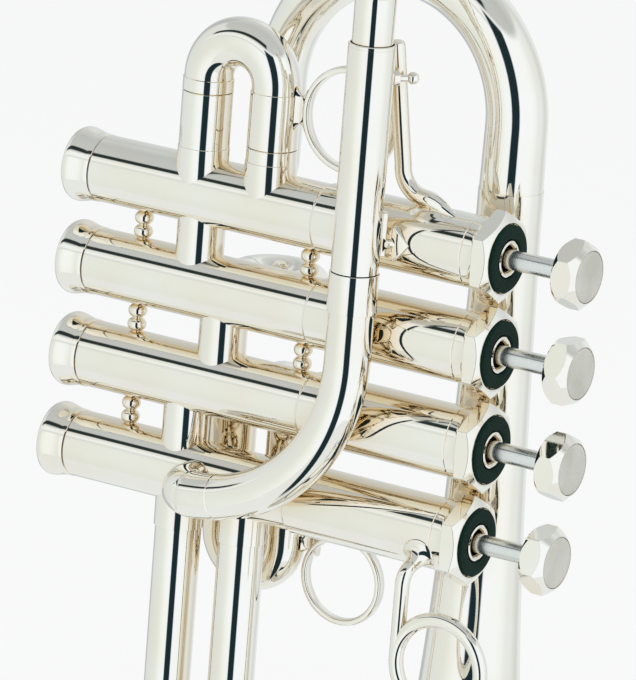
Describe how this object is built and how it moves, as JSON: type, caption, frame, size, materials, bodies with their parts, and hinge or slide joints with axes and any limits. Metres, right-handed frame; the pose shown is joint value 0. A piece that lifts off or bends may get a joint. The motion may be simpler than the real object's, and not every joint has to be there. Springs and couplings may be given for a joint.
{
  "type": "piccolo trumpet",
  "caption": "Small high-pitched trumpet with piston valves, straight leadpipe, looped bow, flared bell, pull-out slides with finger rings, and a finger hook.",
  "frame": {"origin": "on the plane that the bell rim stands on, under the middle of the whole part's box", "axes": "+Z from the bell rim up to the mouthpiece receiver, +X from the bottom caps to the finger buttons, +Y from the leadpipe side to the bell side"},
  "size_m": [0.1694, 0.0994, 0.275],
  "materials": {
    "silver_plate": "silver-plated brass, mirror polished",
    "steel": "satin steel",
    "monel": "honed nickel alloy",
    "green_felt": "pressed wool felt",
    "pearl_inlay": "mother-of-pearl, satin"
  },
  "bodies": {
    "instrument": {"valve_1_casing": "silver_plate", "valve_1_bottom_cap": "silver_plate", "valve_1_top_cap": "silver_plate", "valve_1_cap_felt": "green_felt", "valve_1_spring": "steel", "valve_2_casing": "silver_plate", "valve_2_bottom_cap": "silver_plate", "valve_2_top_cap": "silver_plate", "valve_2_cap_felt": "green_felt", "valve_2_spring": "steel", "valve_3_casing": "silver_plate", "valve_3_bottom_cap": "silver_plate", "valve_3_top_cap": "silver_plate", "valve_3_cap_felt": "green_felt", "valve_3_spring": "steel", "valve_4_casing": "silver_plate", "valve_4_bottom_cap": "silver_plate", "valve_4_top_cap": "silver_plate", "valve_4_cap_felt": "green_felt", "valve_4_spring": "steel", "crossover_1_2": "silver_plate", "crossover_2_3": "silver_plate", "crossover_3_4": "silver_plate", "bell": "silver_plate", "bell_bow": "silver_plate", "bell_brace": "silver_plate", "leadpipe_sleeve": "silver_plate", "leadpipe_crook": "silver_plate", "leadpipe_brace": "silver_plate", "leadpipe_brace_rod": "silver_plate", "finger_hook": "silver_plate"},
    "valve_1": {"valve_1_piston": "monel", "valve_1_stem": "steel", "valve_1_finger_button": "silver_plate", "valve_1_button_inlay": "pearl_inlay"},
    "valve_2": {"valve_2_piston": "monel", "valve_2_stem": "steel", "valve_2_finger_button": "silver_plate", "valve_2_button_inlay": "pearl_inlay"},
    "valve_3": {"valve_3_piston": "monel", "valve_3_stem": "steel", "valve_3_finger_button": "silver_plate", "valve_3_button_inlay": "pearl_inlay"},
    "valve_4": {"valve_4_piston": "monel", "valve_4_stem": "steel", "valve_4_finger_button": "silver_plate", "valve_4_button_inlay": "pearl_inlay"},
    "first_slide": {"first_slide_crook": "silver_plate", "first_slide_thumb_ring": "silver_plate"},
    "second_slide": {"second_slide_crook": "silver_plate"},
    "third_slide": {"third_slide_crook": "silver_plate", "third_slide_finger_ring": "silver_plate"},
    "fourth_slide": {"fourth_slide_crook": "silver_plate"},
    "leadpipe": {"leadpipe_with_receiver": "silver_plate"},
    "lock_screw": {"leadpipe_lock_screw": "silver_plate"}
  },
  "joints": [
    {"name": "valve_1_press", "type": "slide", "parent": "instrument", "child": "valve_1", "axis": [-1, 0, 0], "range_m": [0, 0.0162], "stiffness_N_per_m": 80, "springref_m": -0.03, "deforming": ["valve_1_spring"]},
    {"name": "valve_2_press", "type": "slide", "parent": "instrument", "child": "valve_2", "axis": [-1, 0, 0], "range_m": [0, 0.0162], "stiffness_N_per_m": 80, "springref_m": -0.03, "deforming": ["valve_2_spring"]},
    {"name": "valve_3_press", "type": "slide", "parent": "instrument", "child": "valve_3", "axis": [-1, 0, 0], "range_m": [0, 0.0162], "stiffness_N_per_m": 80, "springref_m": -0.03, "deforming": ["valve_3_spring"]},
    {"name": "valve_4_press", "type": "slide", "parent": "instrument", "child": "valve_4", "axis": [-1, 0, 0], "range_m": [0, 0.0162], "stiffness_N_per_m": 80, "springref_m": -0.03, "deforming": ["valve_4_spring"]},
    {"name": "first_slide_pull", "type": "slide", "parent": "instrument", "child": "first_slide", "axis": [0, 0, 1], "range_m": [0, 0.012]},
    {"name": "second_slide_pull", "type": "slide", "parent": "instrument", "child": "second_slide", "axis": [0, 1, 0], "range_m": [0, 0.0035]},
    {"name": "third_slide_pull", "type": "slide", "parent": "instrument", "child": "third_slide", "axis": [0, 0, -1], "range_m": [0, 0.015]},
    {"name": "fourth_slide_pull", "type": "slide", "parent": "instrument", "child": "fourth_slide", "axis": [0, 0, -1], "range_m": [0, 0.03]},
    {"name": "leadpipe_pull", "type": "slide", "parent": "instrument", "child": "leadpipe", "axis": [0, 0, 1], "range_m": [0, 0.02]},
    {"name": "lock_screw_turn", "type": "hinge", "parent": "instrument", "child": "lock_screw", "pos_m": [0.01355, -0.0385, 0.2298], "axis": [0.6691, 0.7431, 0], "range_deg": [0, 360]}
  ]
}
